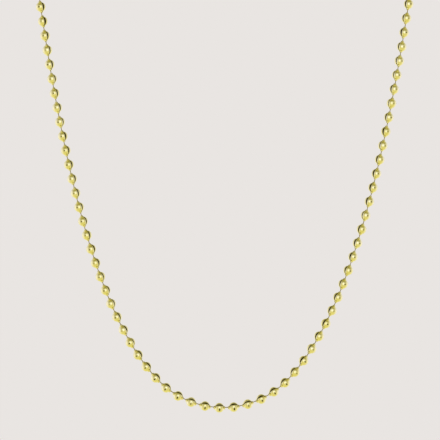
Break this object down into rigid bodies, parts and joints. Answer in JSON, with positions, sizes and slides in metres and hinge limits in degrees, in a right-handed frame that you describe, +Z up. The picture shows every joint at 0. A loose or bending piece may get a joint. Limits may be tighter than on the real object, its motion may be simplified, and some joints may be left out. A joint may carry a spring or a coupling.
{
  "type": "ball chain necklace",
  "caption": "Closed necklace of small hollow gold-coloured beads on short dumbbell pins, hanging in a deep U, with a plain tube coupling at the nape.",
  "frame": {"origin": "at the nape, on the side of the coupling that lies against the back of the neck", "axes": "+Z up; the drop hangs at the front in a plane parallel to XZ, and -Y points from the neck towards a viewer of the picture; +X is to that viewer's right"},
  "size_m": [0.0984, 0.0678, 0.1404],
  "materials": {
    "bead_gold": "polished, pale lemon gold plating",
    "pin_gold": "drawn wire, thinly plated and duller than the beads",
    "coupling_gold": "polished sheet, pale lemon gold plating"
  },
  "bodies": {
    "root": {"beads": "bead_gold", "link_pins": "pin_gold", "coupling": "coupling_gold"}
  },
  "joints": []
}
